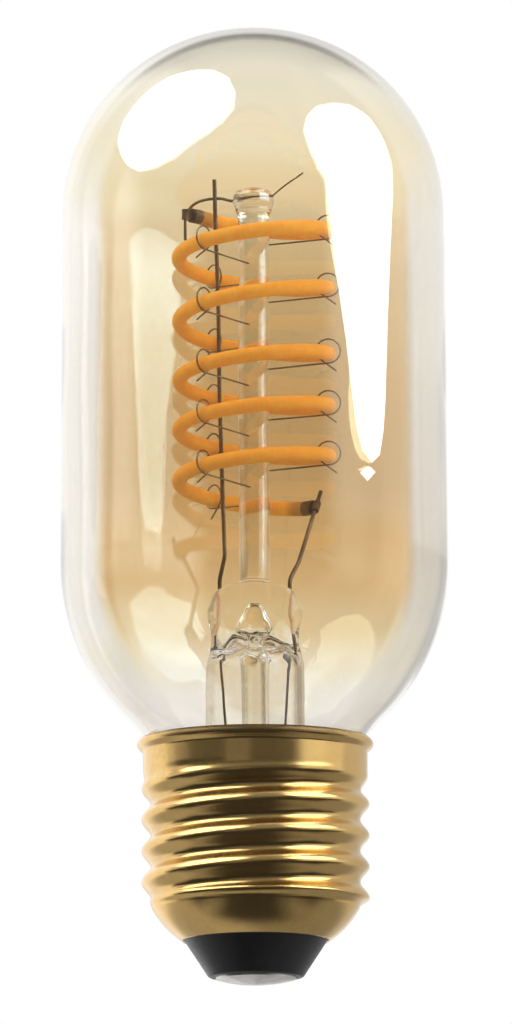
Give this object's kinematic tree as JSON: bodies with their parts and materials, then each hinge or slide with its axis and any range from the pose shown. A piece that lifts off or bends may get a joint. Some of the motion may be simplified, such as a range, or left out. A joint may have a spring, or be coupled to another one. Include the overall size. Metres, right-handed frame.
{
  "type": "tubular light bulb",
  "caption": "Amber glass tubular lamp with a round dome, spiral flexible LED filament on a glass stem with wire supports, and a brass screw cap with a black insulator.",
  "frame": {"origin": "on the lamp's axis at the tip of the centre contact, where it meets the holder's contact", "axes": "+Z along the lamp's axis from the contact to the dome; +X to the right and -Y towards the camera in the picture"},
  "size_m": [0.045, 0.045, 0.1119],
  "materials": {
    "amber_glass": "clear, gloss",
    "stem_glass": "clear, gloss",
    "brass_shell": "rolled, bright",
    "black_insulator": "satin",
    "contact_metal": "satin",
    "nickel_wire": "drawn, satin",
    "sealing_wire": "copper-coloured, satin",
    "filament_silicone": "matt",
    "tip_metal": "satin",
    "cement": "matt",
    "board_laminate": "satin",
    "chip_epoxy": "matt",
    "capacitor_sleeve": "gloss",
    "resistor_body": "matt",
    "solder": "bright"
  },
  "bodies": {
    "root": {"glass_bulb": "amber_glass", "stem_flare": "stem_glass", "exhaust_tube": "stem_glass", "centre_rod": "stem_glass", "screw_shell": "brass_shell", "base_insulator": "black_insulator", "centre_contact": "contact_metal", "base_cement": "cement", "inner_lead_long": "nickel_wire", "inner_lead_short": "nickel_wire", "press_wire_left": "sealing_wire", "press_wire_right": "sealing_wire", "outer_lead_left": "nickel_wire", "outer_lead_right": "nickel_wire", "top_hook_wire": "nickel_wire", "led_filament": "filament_silicone", "filament_tip_upper": "tip_metal", "filament_tip_lower": "tip_metal", "driver_board": "board_laminate", "bridge_rectifier": "chip_epoxy", "driver_chip": "chip_epoxy", "chip_resistors": "chip_epoxy", "smoothing_capacitor": "capacitor_sleeve", "fuse_resistor": "resistor_body", "contact_wire": "nickel_wire", "side_wire": "nickel_wire", "solder_joints": "solder", "support_right_1": "nickel_wire", "support_right_2": "nickel_wire", "support_right_3": "nickel_wire", "support_right_4": "nickel_wire", "support_right_5": "nickel_wire", "support_front_1": "nickel_wire", "support_front_2": "nickel_wire", "support_front_3": "nickel_wire", "support_front_4": "nickel_wire", "support_front_5": "nickel_wire", "support_back_1": "nickel_wire", "support_back_2": "nickel_wire", "support_back_3": "nickel_wire", "support_back_4": "nickel_wire", "support_back_5": "nickel_wire"}
  },
  "joints": []
}
